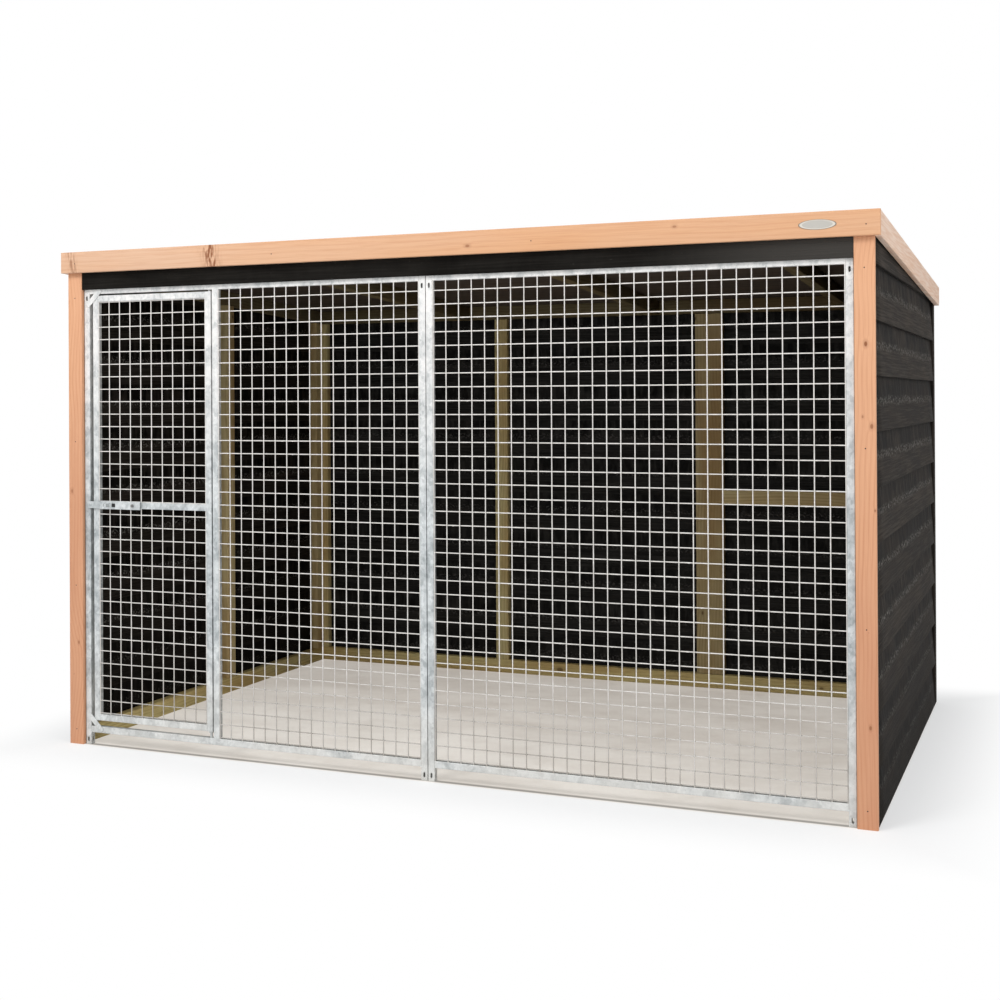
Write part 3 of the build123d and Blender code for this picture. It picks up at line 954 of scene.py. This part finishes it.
@dataclass
class WeldedField:
    """One field of welded mesh: upright wires in front of level wires, fused at each crossing.

    The lump at a wire's end and a wire's unevenness are in millimetres.
    """

    low: Vector
    high: Vector
    front: float
    first_row: float
    pitch: float = 50 * MM
    wire: float = 4 * MM
    inset: float = 1 * MM
    bury: float = 0.6 * MM
    end_lump: tuple[float, float, float] = (3.2, 2.4, 1.6)
    uneven: float = 0.12
    drip_share: float = 0.09

    def columns(self) -> list[float]:
        """Places of the upright wires.

        Returns:
            Their places along X.
        """
        width = self.high.x - self.low.x
        count = math.floor((width - self.wire) / self.pitch + 1e-4) + 1
        margin = (width - (count - 1) * self.pitch) / 2
        return [self.low.x + margin + k * self.pitch for k in range(count)]

    def rows(self) -> list[float]:
        """Places of the level wires.

        Returns:
            Their heights.
        """
        height = self.high.z - self.low.z
        count = math.floor((height - self.first_row - self.wire / 2) / self.pitch + 1e-4) + 1
        return [self.low.z + self.first_row + k * self.pitch for k in range(count)]

    def build(self, mesher: Mesher, rng: random.Random) -> None:
        """Adds the wires, the welds and the drips of zinc.

        Args:
            mesher: where they go.
            rng: seeded draws for the small irregularities.
        """
        radius = self.wire / 2
        upright_y = self.front + self.inset + radius
        level_y = upright_y + self.wire
        columns = self.columns()
        rows = self.rows()
        level = self._stops(self.low.z, rows, self.high.z)
        for x in columns:
            self._wire(mesher, rng, [Vector((x, upright_y, z)) for z in level], Vector((1, 0, 0)))
            for z in (self.low.z, self.high.z):
                mesher.nugget(Vector((x, upright_y + 0.5 * MM, z)), Vector(self.end_lump) * MM)
        upright = self._stops(self.low.x, columns, self.high.x)
        for z in rows:
            self._wire(mesher, rng, [Vector((x, level_y, z)) for x in upright], Vector((0, 0, 1)))
            for x in (self.low.x, self.high.x):
                mesher.nugget(Vector((x, level_y, z)), Vector(self.end_lump[::-1]) * MM)
            for x in columns:
                size = Vector((rng.uniform(2.5, 3.1), 1.9, rng.uniform(2.5, 3.1))) * MM
                mesher.nugget(Vector((x, upright_y + radius, z)), size, 8, 3)
                if rng.random() < self.drip_share:
                    drop = Vector((x + rng.uniform(6, 40) * MM, level_y, z - radius * 0.8))
                    half = Vector((rng.uniform(2.5, 6.0), 1.3, rng.uniform(0.9, 1.8))) * MM
                    if drop.x + half.x < self.high.x:
                        mesher.nugget(drop, half)

    def _stops(self, low: float, crossings: list[float], high: float) -> list[float]:
        """Points along a wire: its buried ends and the middles between crossings."""
        middles = [place + self.pitch / 2 for place in crossings[:-1]]
        return [low - self.bury, *middles, high + self.bury]

    def _wire(self, mesher: Mesher, rng: random.Random, path: list[Vector], side: Vector) -> None:
        """Adds one wire, very slightly uneven.

        Args:
            mesher: where it goes.
            rng: seeded draws.
            path: centre points.
            side: a direction square to the wire.
        """
        radius = self.wire / 2
        for point in path[1:-1]:
            point.y += rng.uniform(-self.uneven, self.uneven) * MM
        radii = [radius * rng.uniform(0.97, 1.04) for _ in path]
        mesher.tube(path, radii, side, 10)


@dataclass
class WeldBeads:
    """Beads of weld round the ends of rails, where they meet the uprights."""

    radius: float = 1.35 * MM
    pitch: float = 2.6 * MM
    inset: float = 0.9 * MM

    def round_end(self, mesher: Mesher, rng: random.Random, low: Vector, high: Vector,
                  axis: Axis) -> None:
        """Adds one bead round the outline of a tube's end.

        Args:
            mesher: where it goes.
            rng: seeded draws.
            low: lowest corner of the end's outline.
            high: highest corner of the end's outline, at the same place along the tube.
            axis: the tube's direction.
        """
        first, second = [k for k in range(3) if k != axis.value]
        ring = []
        a0, a1 = low[first] + self.inset, high[first] - self.inset
        b0, b1 = low[second] + self.inset, high[second] - self.inset
        outline = [(a0, b0), (a1, b0), (a1, b1), (a0, b1)]
        for k, (a, b) in enumerate(outline):
            c, d = outline[(k + 1) % 4]
            steps = max(2, int(math.hypot(c - a, d - b) / self.pitch))
            for j in range(steps):
                point = Vector((0, 0, 0))
                point[axis.value] = low[axis.value] + rng.uniform(-0.3, 0.3) * MM
                point[first] = a + (c - a) * j / steps
                point[second] = b + (d - b) * j / steps
                ring.append(point)
        radii = [self.radius * rng.uniform(0.8, 1.15) for _ in ring]
        mesher.loop(ring, radii)


@dataclass
class SteelFront:
    """The two galvanised panels with the door, its pins and its latch."""

    zinc: Material
    wire_zinc: Material
    bolt: Material
    bar: Material
    cover: Material
    first_row: float = 5 * MM
    upper_first_row: float = 2 * MM
    seed: int = SEED

    def build(self) -> None:
        """Dresses the tubes and adds wires and welds."""
        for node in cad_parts:
            if self._is_tube(node):
                dress(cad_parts[node], self.zinc)
        dress(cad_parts["latch_bolt"], self.bolt)
        dress(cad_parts["latch_bar"], self.bar)
        dress(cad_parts["latch_cover"], self.cover)
        for turn, node in enumerate(("left_panel_mesh", "right_panel_mesh"), 1):
            low, high = corners(node)
            field = WeldedField(low, high, low.y - WeldedField.inset, self.first_row)
            self._mesh(node, Body.KENNEL, turn, field)
        self._door_mesh()
        places = ("left", "top"), ("left", "bottom"), ("right", "top"), ("right", "bottom")
        rails = [f"{side}_panel_{end}_rail" for side, end in places]
        panel_ends = self._ends(Axis.X, *rails) + self._ends(Axis.Z, "left_panel_hinge_post")
        self._beads("panel_welds", Body.KENNEL, panel_ends)
        door_rails = [f"door_{place}_rail" for place in ("top", "middle", "bottom")]
        self._beads("door_welds", Body.DOOR, self._ends(Axis.X, *door_rails))

    def _is_tube(self, node: str) -> bool:
        """Whether a node is steel that keeps its CAD shape."""
        steel = node.startswith(("left_panel", "right_panel", "door_", "latch"))
        return steel and not node.endswith("_mesh")

    def _door_mesh(self) -> None:
        """Replaces the door's mesh by a field below its middle rail and one above."""
        low, high = corners("door_mesh")
        rail_low, rail_high = corners("door_middle_rail")
        front = low.y - WeldedField.inset
        middle_high = Vector((high.x, high.y, rail_low.z))
        middle_low = Vector((low.x, low.y, rail_high.z))
        lower = WeldedField(low, middle_high, front, self.first_row)
        upper = WeldedField(middle_low, high, front, self.upper_first_row)
        self._mesh("door_mesh", Body.DOOR, 3, lower, upper)

    def _mesh(self, node: str, body: Body, turn: int, *fields: WeldedField) -> None:
        """Replaces one piece of mesh by its fields.

        Args:
            node: the mesh's CAD node.
            body: the body that it rides on.
            turn: sets its draws apart from the other pieces'.
            fields: its fields, in the order of their draws.
        """
        rng = random.Random(self.seed + turn)
        mesher = Mesher()
        for field in fields:
            field.build(mesher, rng)
        piece = mesher.piece(f"{node}_wires", 60.0)
        dress(piece, self.wire_zinc)
        fit(piece, body, Slot.STEEL, node)

    def _ends(self, axis: Axis, *nodes: str) -> list[End]:
        """Both end outlines of tubes.

        Args:
            axis: the tubes' direction.
            nodes: their CAD nodes.

        Returns:
            The lowest and highest corner and the direction of each end.
        """
        ends = []
        for node in nodes:
            low, high = corners(node)
            for place in (low[axis.value], high[axis.value]):
                a, b = low.copy(), high.copy()
                a[axis.value] = place
                b[axis.value] = place
                ends.append((a, b, axis))
        return ends

    def _beads(self, name: str, body: Body, ends: list[End]) -> None:
        """Makes one piece of the beads round all the ends given.

        Args:
            name: the piece's name.
            body: the body that it rides on.
            ends: the outlines.
        """
        mesher = Mesher()
        rng = random.Random(self.seed + len(ends))
        beads = WeldBeads()
        for low, high, axis in ends:
            beads.round_end(mesher, rng, low, high, axis)
        piece = mesher.piece(name, 60.0)
        dress(piece, self.zinc)
        fit(piece, body, Slot.STEEL)


@dataclass
class TimberTrim:
    """Corner boards and fascias: planed timber that shows its face."""

    radius: float = 2.5 * MM
    pale: Colour = (0.685, 0.45, 0.308)
    late: Colour = (0.47, 0.19, 0.09)
    warm: Colour = (0.665, 0.368, 0.2)
    knot: Colour = (0.24, 0.085, 0.035)
    pink: Colour = (0.7, 0.385, 0.225)
    rose: Colour = (0.57, 0.285, 0.168)
    fascia_lean: tuple[float, float] = (-1.4, 0.2)
    corner_lean: tuple[float, float] = (1.7, 0.5)

    def _finish(self, node: str, grain: Axis, across: Axis, knots: tuple[Knot, ...],
                seed: float) -> Material:
        """Planed timber for one board: corner boards pinker, side fascias bleached.

        Args:
            node: the board's CAD node.
            grain: direction of its length.
            across: direction of its width.
            knots: its knots.
            seed: sets its pattern apart from the other boards'.

        Returns:
            The board's material.
        """
        look = {
            "pale": self.pale, "warm": self.warm, "lean": self.fascia_lean,
            "ring_pitch": 0.019, "contrast": 0.2, "sweep": 0.13,
        }
        if node.startswith("front_corner"):
            look = {
                "pale": self.pink, "warm": self.rose, "lean": self.corner_lean,
                "ring_pitch": 0.0145, "contrast": 0.5, "sweep": 0.3,
            }
        bleach = 0.75 if node.startswith("side_fascia") else 0.0
        return PlanedTimber(
            f"planed_{node}", grain, across, late=self.late, knot=self.knot, knots=knots, seed=seed,
            bleach=bleach, **look,
        ).material()

    def build(self) -> None:
        """Replaces each board with one that has rounded edges."""
        fascia_knots = (
            Knot(-0.891, 1.946, 0.016, 0.95, True), Knot(-1.545, 1.965, 0.01, 0.6, True),
            Knot(0.18, 1.93, 0.006, 0.7), Knot(0.93, 1.96, 0.005, 0.6),
        )
        right_knots = (
            Knot(1.555, 1.545, 0.006, 0.95), Knot(1.291, 1.562, 0.006, 0.75),
            Knot(1.322, 1.534, 0.0035, 0.6),
        )
        left_knots = (Knot(1.02, -1.56, 0.006, 0.6), Knot(0.41, -1.53, 0.005, 0.7))
        boards = {
            "front_fascia": (Axis.X, Axis.Z, fascia_knots, 3.0),
            "rear_fascia": (Axis.X, Axis.Z, (), 11.0),
            "front_corner_board_right": (Axis.Z, Axis.X, right_knots, 5.0),
            "front_corner_board_left": (Axis.Z, Axis.X, left_knots, 7.0),
            "side_fascia_left": (Axis.Y, Axis.Z, (), 13.0),
            "side_fascia_right": (Axis.Y, Axis.Z, (), 17.0),
        }
        for node, (grain, across, knots, seed) in boards.items():
            piece = eased_copy(node, self.radius, 3)
            dress(piece, self._finish(node, grain, across, knots, seed))
            fit(piece, Body.KENNEL, Slot.PLANED, node)


@dataclass
class TimberFrame:
    """Studs, plates, noggin and rafters of the walls and roof."""

    radius: float = 2.0 * MM
    pale: Colour = (0.7, 0.57, 0.3)
    late: Colour = (0.34, 0.21, 0.08)
    warm: Colour = (0.56, 0.38, 0.17)
    knot: Colour = (0.14, 0.07, 0.03)
    # painted shade: the top plates and rafters under the roof take colours cut to a quarter
    shade: Colour = (0.24, 0.24, 0.24)
    low: Colour = (1.2, 1.25, 1.12)

    def _finish(self, name: str, grain: Axis, across: Axis, seed: float, tint: Colour = WHITE,
                knots: tuple[Knot, ...] = ()) -> Material:
        """Framing timber with its grain along one axis.

        Args:
            name: the material's name.
            grain: direction of the timber's length.
            across: direction of its width.
            seed: sets its pattern apart from the others'.
            tint: what the colours are multiplied by.
            knots: its large knots.

        Returns:
            The timber's material.
        """
        pale, late, warm, knot = (
            tuple(min(0.9, part * share) for part, share in zip(colour, tint))
            for colour in (self.pale, self.late, self.warm, self.knot)
        )
        return PlanedTimber(
            name, grain, across, pale, late, warm, knot, knots, ring_pitch=0.015, roughness=0.68,
            seed=seed,
        ).material()

    def build(self) -> None:
        """Replaces each length of framing timber."""
        kinds = {
            "level": (Axis.X, Axis.Z, 2.0),
            "upright_back": (Axis.Z, Axis.X, 6.0, (1.1, 1.16, 1.12)),
            "upright_side": (Axis.Z, Axis.Y, 8.0),
            "joint": (Axis.Z, Axis.X, 19.0, (0.78, 0.76, 0.76)),
            # high_level and high_across carry the painted shade
            "high_level": (Axis.X, Axis.Z, 9.0, self.shade),
            "high_across": (Axis.Y, Axis.Z, 12.0, self.shade),
            "low_level": (Axis.X, Axis.Z, 14.0, self.low, (Knot(-0.194, 0.035, 0.012, 0.8),)),
            "low_across": (Axis.Y, Axis.Z, 15.0, self.low),
        }
        finishes = {kind: self._finish(f"framing_{kind}", *look) for kind, look in kinds.items()}
        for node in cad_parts:
            if ("wall_" in node and not node.endswith("cladding")) or node.startswith("rafter"):
                piece = eased_copy(node, self.radius)
                dress(piece, finishes[self._kind(node)])
                fit(piece, Body.KENNEL, Slot.FRAMING, node)

    def _kind(self, node: str) -> str:
        """Which finish a timber takes, from its direction and its place in the run.

        Args:
            node: the timber's CAD node.

        Returns:
            The finish's name.
        """
        low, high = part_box(node)
        spans = [high[k] - low[k] for k in range(3)]
        grain = Axis(spans.index(max(spans)))
        if "joint" in node:
            return "joint"
        if grain is Axis.Z:
            return "upright_back" if node.startswith("back") else "upright_side"
        run = "level" if grain is Axis.X else "across"
        if node.startswith("rafter") or "top_plate" in node:
            return f"high_{run}"
        return f"low_{run}" if "bottom_plate" in node else run


@dataclass
class DarkBoards:
    """Overlapping wall boards, rear corner boards and the header, all stained dark."""

    pitch: float = 181 * MM
    first: float = 5 * MM
    edge: float = 1.2 * MM
    ring: float = 0.16
    waver: float = 1.6 * MM

    def build(self) -> None:
        """Replaces the boards with ones whose edges are eased and a little uneven."""
        walls = {
            "left_wall_cladding": Axis.Y,
            "right_wall_cladding": Axis.Y,
            "back_wall_cladding": Axis.X,
        }
        side = StainedBoards("stained_side_boards", Axis.Y, self.pitch, self.first).material()
        back = StainedBoards(
            "stained_back_boards", Axis.X, self.pitch, self.first, dark=(0.012, 0.0115, 0.011),
            grey=(0.06, 0.057, 0.053), speck=(0.09, 0.085, 0.08), foot=0.0, step=0.15,
        ).material()
        for node, grain in walls.items():
            piece = eased_copy(node, self.edge, 1, self.ring, self.waver)
            dress(piece, side if grain is Axis.Y else back)
            fit(piece, Body.KENNEL, Slot.STAINED, node)
        # the header carries a painted sheen, lighter towards its right end
        level = StainedBoards(
            "stained_header", Axis.X, grey=(0.026, 0.024, 0.021), step=0.2, lean=(0.7, 1.45),
        ).material()
        upright = StainedBoards("stained_upright", Axis.Z).material()
        boards = {
            "header_board": level,
            "rear_corner_board_left": upright,
            "rear_corner_board_right": upright,
        }
        for node, finish in boards.items():
            piece = eased_copy(node, self.edge, 2)
            dress(piece, finish)
            fit(piece, Body.KENNEL, Slot.STAINED, node)


@dataclass
class Roof:
    """The deck and its rubber sheet."""

    seam: float = 0.56

    def build(self) -> None:
        """Dresses the deck and the sheet."""
        dress(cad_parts["roof_covering"], RoofRubber("roof_rubber", self.seam).material())
        dress(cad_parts["roof_deck"], RoofBoards("roof_boards").material())
        log.info("roof dressed")


@dataclass
class NamePlate:
    """Bare oval plate on the front fascia: a shallow dish inside a rounded rim."""

    rim: float = 2.4 * MM
    edge: float = 0.5 * MM
    slope: float = 0.8 * MM
    dish: float = 0.6 * MM
    sides: int = 72

    def build(self) -> None:
        """Replaces the plain oval."""
        low, high = corners("name_plate")
        centre = (low + high) / 2
        half_x = (high.x - low.x) / 2
        half_z = (high.z - low.z) / 2
        front = low.y
        back = high.y
        floor = front + self.dish
        rings = [(0.0, back), (0.0, front + self.edge), (self.edge, front), (self.rim, front),
                 (self.rim + self.slope, floor), (half_z * 0.5, floor)]
        mesher = Mesher()
        firsts = [
            mesher.ring(
                Vector((centre.x, depth, centre.z)), Vector((half_x - inset, 0, 0)),
                Vector((0, 0, half_z - inset)), self.sides,
            )
            for inset, depth in rings
        ]
        for a, b in zip(firsts, firsts[1:]):
            mesher.bridge(a, b, self.sides)
        mesher.faces.append(tuple(firsts[-1] + j for j in range(self.sides)))
        mesher.faces.append(tuple(reversed(range(self.sides))))
        piece = mesher.piece("name_plate_dished", 30.0)
        dress(piece, PlateMetal("plate_metal", (centre.x, centre.z), (half_x, half_z)).material())
        fit(piece, Body.KENNEL, Slot.PLATE, "name_plate")


@dataclass
class Screws:
    """Countersunk screws in the fascia and the corner boards."""

    radius: float = 4.0 * MM
    sunk: float = 1.2 * MM
    proud: float = 0.3 * MM
    fascia_height: float = 1.937
    fascia_places: tuple[float, ...] = (-1.528, -0.62, 0.42, 1.551)
    board_place: float = 1.542
    board_heights: tuple[float, ...] = (0.06, 0.64, 1.22, 1.8)

    def build(self, material: Material) -> None:
        """Adds the screws on the front faces.

        Args:
            material: the screws' finish.
        """
        fascia_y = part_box("front_fascia")[0][1]
        mesher = Mesher()
        for x in self.fascia_places:
            self._head(mesher, Vector((x, fascia_y, self.fascia_height)))
        board_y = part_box("front_corner_board_left")[0][1]
        for side in (-1, 1):
            for z in self.board_heights:
                self._head(mesher, Vector((side * self.board_place, board_y, z)))
        piece = mesher.piece("trim_screws", 30.0)
        dress(piece, material)
        fit(piece, Body.KENNEL, Slot.STEEL)

    def _head(self, mesher: Mesher, centre: Vector) -> None:
        """Adds one screw head: a low dome that faces -Y, let into the board."""
        half = Vector((self.radius, self.sunk + self.proud, self.radius))
        mesher.nugget(centre + Vector((0, self.sunk, 0)), half, 12, 5)


# Studio


@dataclass(frozen=True)
class Lamp:
    """One square soft lamp: its place, what it points at, its side and its watts."""

    name: str
    place: tuple[float, float, float]
    target: tuple[float, float, float]
    side: float
    watts: float

    def build(self) -> None:
        """Places the lamp."""
        data = bpy.data.lights.new(self.name, "AREA")
        data.size = self.side
        data.energy = self.watts
        lamp = bpy.data.objects.new(self.name, data)
        place = Vector(self.place)
        lamp.location = place
        lamp.rotation_euler = (Vector(self.target) - place).to_track_quat("-Z", "Y").to_euler()
        bpy.context.scene.collection.objects.link(lamp)


LAMPS = (
    Lamp("key", (-1.8, -5.6, 6.4), (0.0, -0.5, 0.6), 2.6, 250.0),
    Lamp("fill", (6.2, -3.4, 3.6), (1.4, 0.2, 1.0), 3.0, 90.0),
)


@dataclass
class Studio:
    """Floor, soft light and the camera at the photograph's viewing angle."""

    focal_px: float = 1477.0
    centre_px: tuple[float, float] = (422.4, 392.5)
    frame_px: float = 1000.0
    sensor_mm: float = 36.0
    place: Vector = Vector((2.159, -5.9708, 1.391))
    yaw: float = math.radians(23.867)
    pitch: float = math.radians(-0.195)
    roll: float = math.radians(-0.309)
    sky: Vector = Vector((0.1, -0.75, 0.66))
    turn: tuple[float, float] = (-0.4, 0.9)
    dim: float = 0.22
    bright: float = 0.85
    floor_radius: float = 30.0

    def camera(self) -> None:
        """Places the camera."""
        ahead = Vector((-math.sin(self.yaw), math.cos(self.yaw), 0))
        right = Vector((math.cos(self.yaw), math.sin(self.yaw), 0))
        up = Vector((0, 0, 1))
        look = ahead * math.cos(self.pitch) - up * math.sin(self.pitch)
        top = up * math.cos(self.pitch) + ahead * math.sin(self.pitch)
        level = right * math.cos(self.roll) + top * math.sin(self.roll)
        crown = top * math.cos(self.roll) - right * math.sin(self.roll)
        data = bpy.data.cameras.new("camera")
        data.sensor_width = self.sensor_mm
        data.lens = self.focal_px / self.frame_px * self.sensor_mm
        data.shift_x = 0.5 - self.centre_px[0] / self.frame_px
        data.shift_y = self.centre_px[1] / self.frame_px - 0.5
        data.clip_end = 100
        camera = bpy.data.objects.new("camera", data)
        turn = Matrix((level, crown, -look)).transposed()
        camera.matrix_world = Matrix.Translation(self.place) @ turn.to_4x4()
        bpy.context.scene.collection.objects.link(camera)
        bpy.context.scene.camera = camera

    def floor(self) -> None:
        """A wide round floor."""
        shape = bmesh.new()
        bmesh.ops.create_circle(shape, cap_ends=True, segments=96, radius=self.floor_radius)
        mesh = bpy.data.meshes.new("floor")
        shape.to_mesh(mesh)
        shape.free()
        floor = bpy.data.objects.new("floor", mesh)
        bpy.context.scene.collection.objects.link(floor)
        floor.data.materials.append(StudioFloor().material())

    def light(self) -> None:
        """Soft lamps and a plain pale world."""
        for lamp in LAMPS:
            lamp.build()
        self._world()
        bpy.context.scene.view_settings.view_transform = "Standard"

    def _world(self) -> None:
        """A world that is brighter toward the sky, and white where the camera sees past the run."""
        world = bpy.data.worlds.new("world")
        bpy.context.scene.world = world
        world.use_nodes = True
        graph = Graph(world.node_tree)
        coords = graph.node("ShaderNodeTexCoord")
        toward = graph.node(
            "ShaderNodeVectorMath", {"operation": "DOT_PRODUCT"},
            {0: coords.outputs["Generated"], 1: self.sky.normalized()},
        )
        strength = graph.node("ShaderNodeMapRange", {"interpolation_type": "SMOOTHSTEP"}, {
            "Value": toward.outputs["Value"], "From Min": self.turn[0], "From Max": self.turn[1],
            "To Min": self.dim, "To Max": self.bright,
        })
        light = graph.node("ShaderNodeBackground", None, {0: WHITE, 1: strength.outputs[0]})
        plain = graph.node("ShaderNodeBackground", None, {0: WHITE, 1: 1.0})
        seen = graph.seen_by("Camera", "Glossy", "Transmission")
        graph.node("ShaderNodeOutputWorld", None, {0: graph.mixed_shader(seen, light, plain)})


def steel_front() -> SteelFront:
    """The steel front with its finishes: tube, wire, bolt, latch bar and latch cover.

    Returns:
        The sub-assembly, ready to build.
    """
    tube = Zinc("zinc_tube").material()
    # painted shade: the wire's low tone is a dark brown-grey, so the wires darken towards the floor
    wire = Zinc(
        "zinc_wire", spangle=0.02, bright=(0.76, 0.74, 0.71), dull=(0.6, 0.58, 0.55),
        high_tone=(0.8, 0.77, 0.74), low_tone=(0.34, 0.31, 0.275), low_tone_share=0.9, metallic=0.15,
    ).material()
    # painted shade: dark spans where the hole and the slot in the cover show the bar, and along the
    # cover's edges by the hole
    bar = Zinc("zinc_latch_bar", stains=((-1.414, -1.4), (-1.374, -1.354))).material()
    cover = Zinc("zinc_latch_cover", stains=((-1.419, -1.4003),), behind=-1.0698).material()
    # painted shade: the latch bolt is a near-black zinc, so its head reads shaded
    bolt = Zinc(
        "zinc_bolt_painted_shade", bright=(0.2, 0.2, 0.195), dull=(0.1, 0.1, 0.098), high_tone=(0.24, 0.235, 0.23),
        metallic=0.1,
    ).material()
    return SteelFront(tube, wire, bolt, bar, cover)


def main() -> None:
    """Builds the studio and dresses the run."""
    studio = Studio()
    studio.camera()
    studio.floor()
    studio.light()
    # a very dark zinc for the screw heads
    screw_finish = Zinc(
        "dark_screw_zinc", bright=(0.03, 0.027, 0.024), dull=(0.014, 0.012, 0.011),
        high_tone=(0.03, 0.027, 0.024), low_tone=(0.02, 0.017, 0.014), metallic=0.08, roughness=0.6,
    ).material()
    steel_front().build()
    TimberTrim().build()
    TimberFrame().build()
    DarkBoards().build()
    Roof().build()
    NamePlate().build()
    Screws().build(screw_finish)


if __name__ == "__main__":
    logging.basicConfig(level=logging.INFO, format="%(message)s")
    main()
